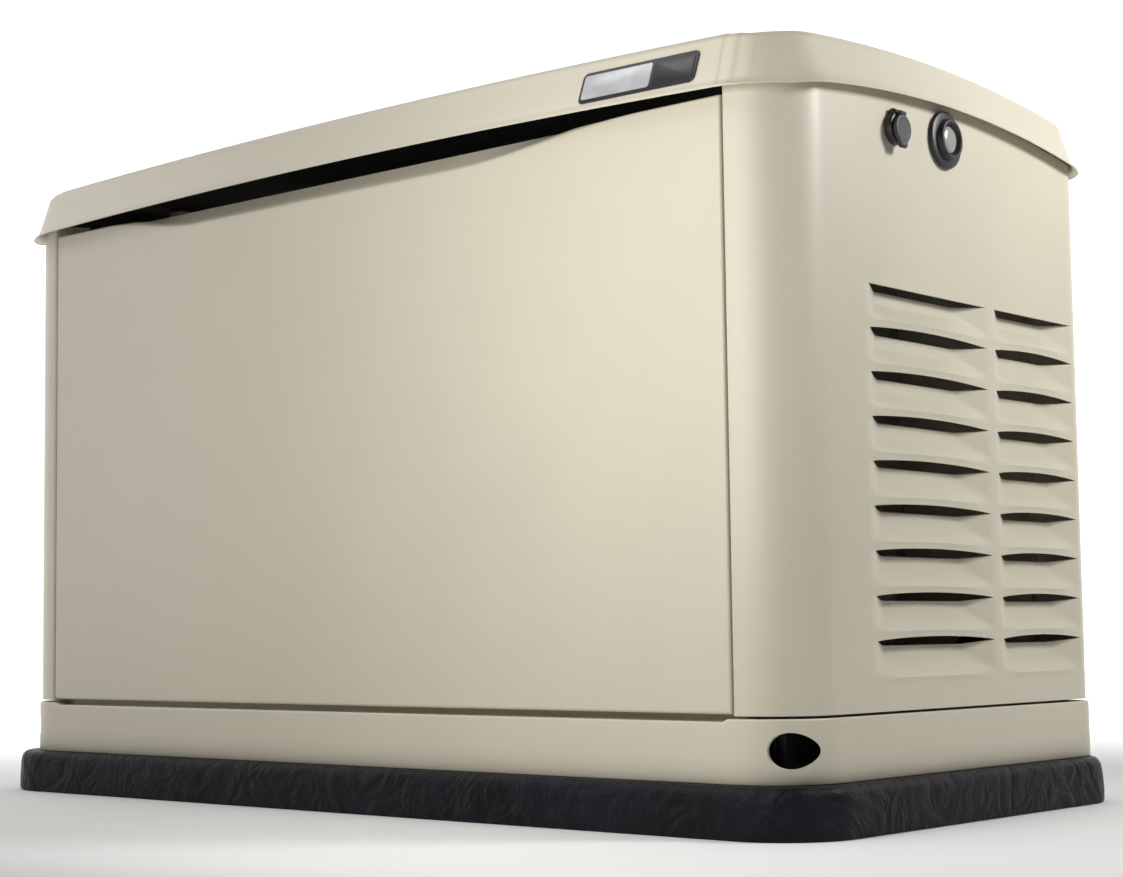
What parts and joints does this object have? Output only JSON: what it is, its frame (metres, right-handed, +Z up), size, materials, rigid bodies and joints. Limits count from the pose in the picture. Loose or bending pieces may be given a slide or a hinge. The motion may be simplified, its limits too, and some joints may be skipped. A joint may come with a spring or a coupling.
{
  "type": "home standby generator",
  "caption": "Home standby generator: louvred sheet-metal housing with hinged lid and lift-off door, air-cooled V-twin engine and alternator inside, on a composite pad.",
  "frame": {"origin": "centre of the pad's underside", "axes": "+X towards the side with the status light, -Y towards the front door, +Z up"},
  "size_m": [1.24, 0.656, 0.788],
  "materials": {
    "composite": "leathery moulded composite",
    "tan_paint": "fine-textured satin paint",
    "black_plastic": "moulded, satin",
    "grey_plastic": "moulded, satin",
    "cast_alloy": "as cast",
    "black_enamel": "satin enamel",
    "zinc_plate": "zinc plated",
    "exhaust_steel": "aluminised and heat tinted",
    "black_rubber": "matt",
    "clear_plastic": "translucent",
    "red_plastic": "satin",
    "yellow_plastic": "satin"
  },
  "bodies": {
    "housing": {"mounting_pad": "composite", "base_pan": "tan_paint", "right_side_panel": "tan_paint", "left_side_panel": "tan_paint", "rear_panel": "tan_paint", "hinge_base_left": "zinc_plate", "hinge_base_right": "zinc_plate", "lock_body_left": "black_plastic", "lock_body_right": "black_plastic", "light_bezel": "black_plastic", "light_lens": "clear_plastic", "crankcase": "cast_alloy", "cylinder_front": "cast_alloy", "valve_cover_front": "black_enamel", "cylinder_rear": "cast_alloy", "valve_cover_rear": "black_enamel", "blower_housing": "black_plastic", "stator_can": "cast_alloy", "bearing_carrier": "cast_alloy", "starter_motor": "black_enamel", "oil_filter": "yellow_plastic", "rubber_mount_1": "black_rubber", "rubber_mount_2": "black_rubber", "rubber_mount_3": "black_rubber", "rubber_mount_4": "black_rubber", "air_cleaner_box": "black_plastic", "fuel_mixer": "cast_alloy", "fuel_regulator": "cast_alloy", "fuel_hose": "black_rubber", "muffler": "exhaust_steel", "exhaust_pipes": "exhaust_steel", "exhaust_divider": "zinc_plate", "alternator_divider": "zinc_plate", "control_box": "grey_plastic", "control_fascia": "black_plastic", "main_breaker": "black_plastic", "battery": "black_plastic", "cable_positive": "red_plastic", "cable_negative": "black_rubber"},
    "lid": {"roof": "tan_paint", "badge_plate": "black_plastic", "hinge_leaf_left": "zinc_plate", "hinge_leaf_right": "zinc_plate", "lid_striker_left": "zinc_plate", "lid_striker_right": "zinc_plate"},
    "door": {"front_door": "tan_paint"},
    "left_lock": {"lock_plug_left": "zinc_plate"},
    "right_lock": {"lock_plug_right": "zinc_plate"},
    "left_lock_flap": {"lock_cover_left": "black_rubber"},
    "right_lock_flap": {"lock_cover_right": "black_rubber"},
    "rotating_train": {"crankshaft": "zinc_plate", "flywheel_fan": "cast_alloy", "alternator_rotor": "black_enamel"},
    "dipstick": {"oil_dipstick": "yellow_plastic"},
    "air_cover": {"air_cleaner_cover": "black_plastic"},
    "fuel_lever": {"fuel_selector": "red_plastic"},
    "breaker_lever": {"breaker_toggle": "black_plastic"},
    "auto_key": {"key_auto": "grey_plastic"},
    "off_key": {"key_off": "grey_plastic"},
    "manual_key": {"key_manual": "grey_plastic"}
  },
  "joints": [
    {"name": "roof_hinge", "type": "hinge", "parent": "housing", "child": "lid", "pos_m": [0, 0.313, 0.703], "axis": [-1, 0, 0], "range_deg": [0, 95]},
    {"name": "door_lift_off", "type": "slide", "parent": "housing", "child": "door", "axis": [0, -1, 0], "range_m": [0, 0.3]},
    {"name": "lock_left_turn", "type": "hinge", "parent": "housing", "child": "left_lock", "pos_m": [-0.58, -0.108, 0.696], "axis": [-1, 0, 0], "range_deg": [0, 90]},
    {"name": "lock_right_turn", "type": "hinge", "parent": "housing", "child": "right_lock", "pos_m": [0.58, -0.108, 0.696], "axis": [-1, 0, 0], "range_deg": [0, 90]},
    {"name": "lock_left_flap", "type": "hinge", "parent": "housing", "child": "left_lock_flap", "pos_m": [-0.606, -0.108, 0.7105], "axis": [0, 1, 0], "range_deg": [0, 80]},
    {"name": "lock_right_flap", "type": "hinge", "parent": "housing", "child": "right_lock_flap", "pos_m": [0.606, -0.108, 0.7105], "axis": [0, -1, 0], "range_deg": [0, 80]},
    {"name": "crank_spin", "type": "hinge", "parent": "housing", "child": "rotating_train", "pos_m": [0, 0, 0.255], "axis": [1, 0, 0], "continuous": true},
    {"name": "dipstick_pull", "type": "slide", "parent": "housing", "child": "dipstick", "axis": [0, 0, 1], "range_m": [0, 0.196]},
    {"name": "air_cover_lift_off", "type": "slide", "parent": "housing", "child": "air_cover", "axis": [0, 0, 1], "range_m": [0, 0.06]},
    {"name": "fuel_selector_turn", "type": "hinge", "parent": "housing", "child": "fuel_lever", "pos_m": [-0.158, -0.0465, 0.45], "axis": [0, 1, 0], "range_deg": [0, 90]},
    {"name": "breaker_throw", "type": "hinge", "parent": "housing", "child": "breaker_lever", "pos_m": [0.43, -0.258, 0.52], "axis": [1, 0, 0], "range_deg": [0, 40]},
    {"name": "key_auto_press", "type": "slide", "parent": "housing", "child": "auto_key", "axis": [0, 0.729, -0.6846], "range_m": [0, 0.0015], "stiffness_N_per_m": 400},
    {"name": "key_off_press", "type": "slide", "parent": "housing", "child": "off_key", "axis": [0, 0.729, -0.6846], "range_m": [0, 0.0015], "stiffness_N_per_m": 400},
    {"name": "key_manual_press", "type": "slide", "parent": "housing", "child": "manual_key", "axis": [0, 0.729, -0.6846], "range_m": [0, 0.0015], "stiffness_N_per_m": 400}
  ]
}
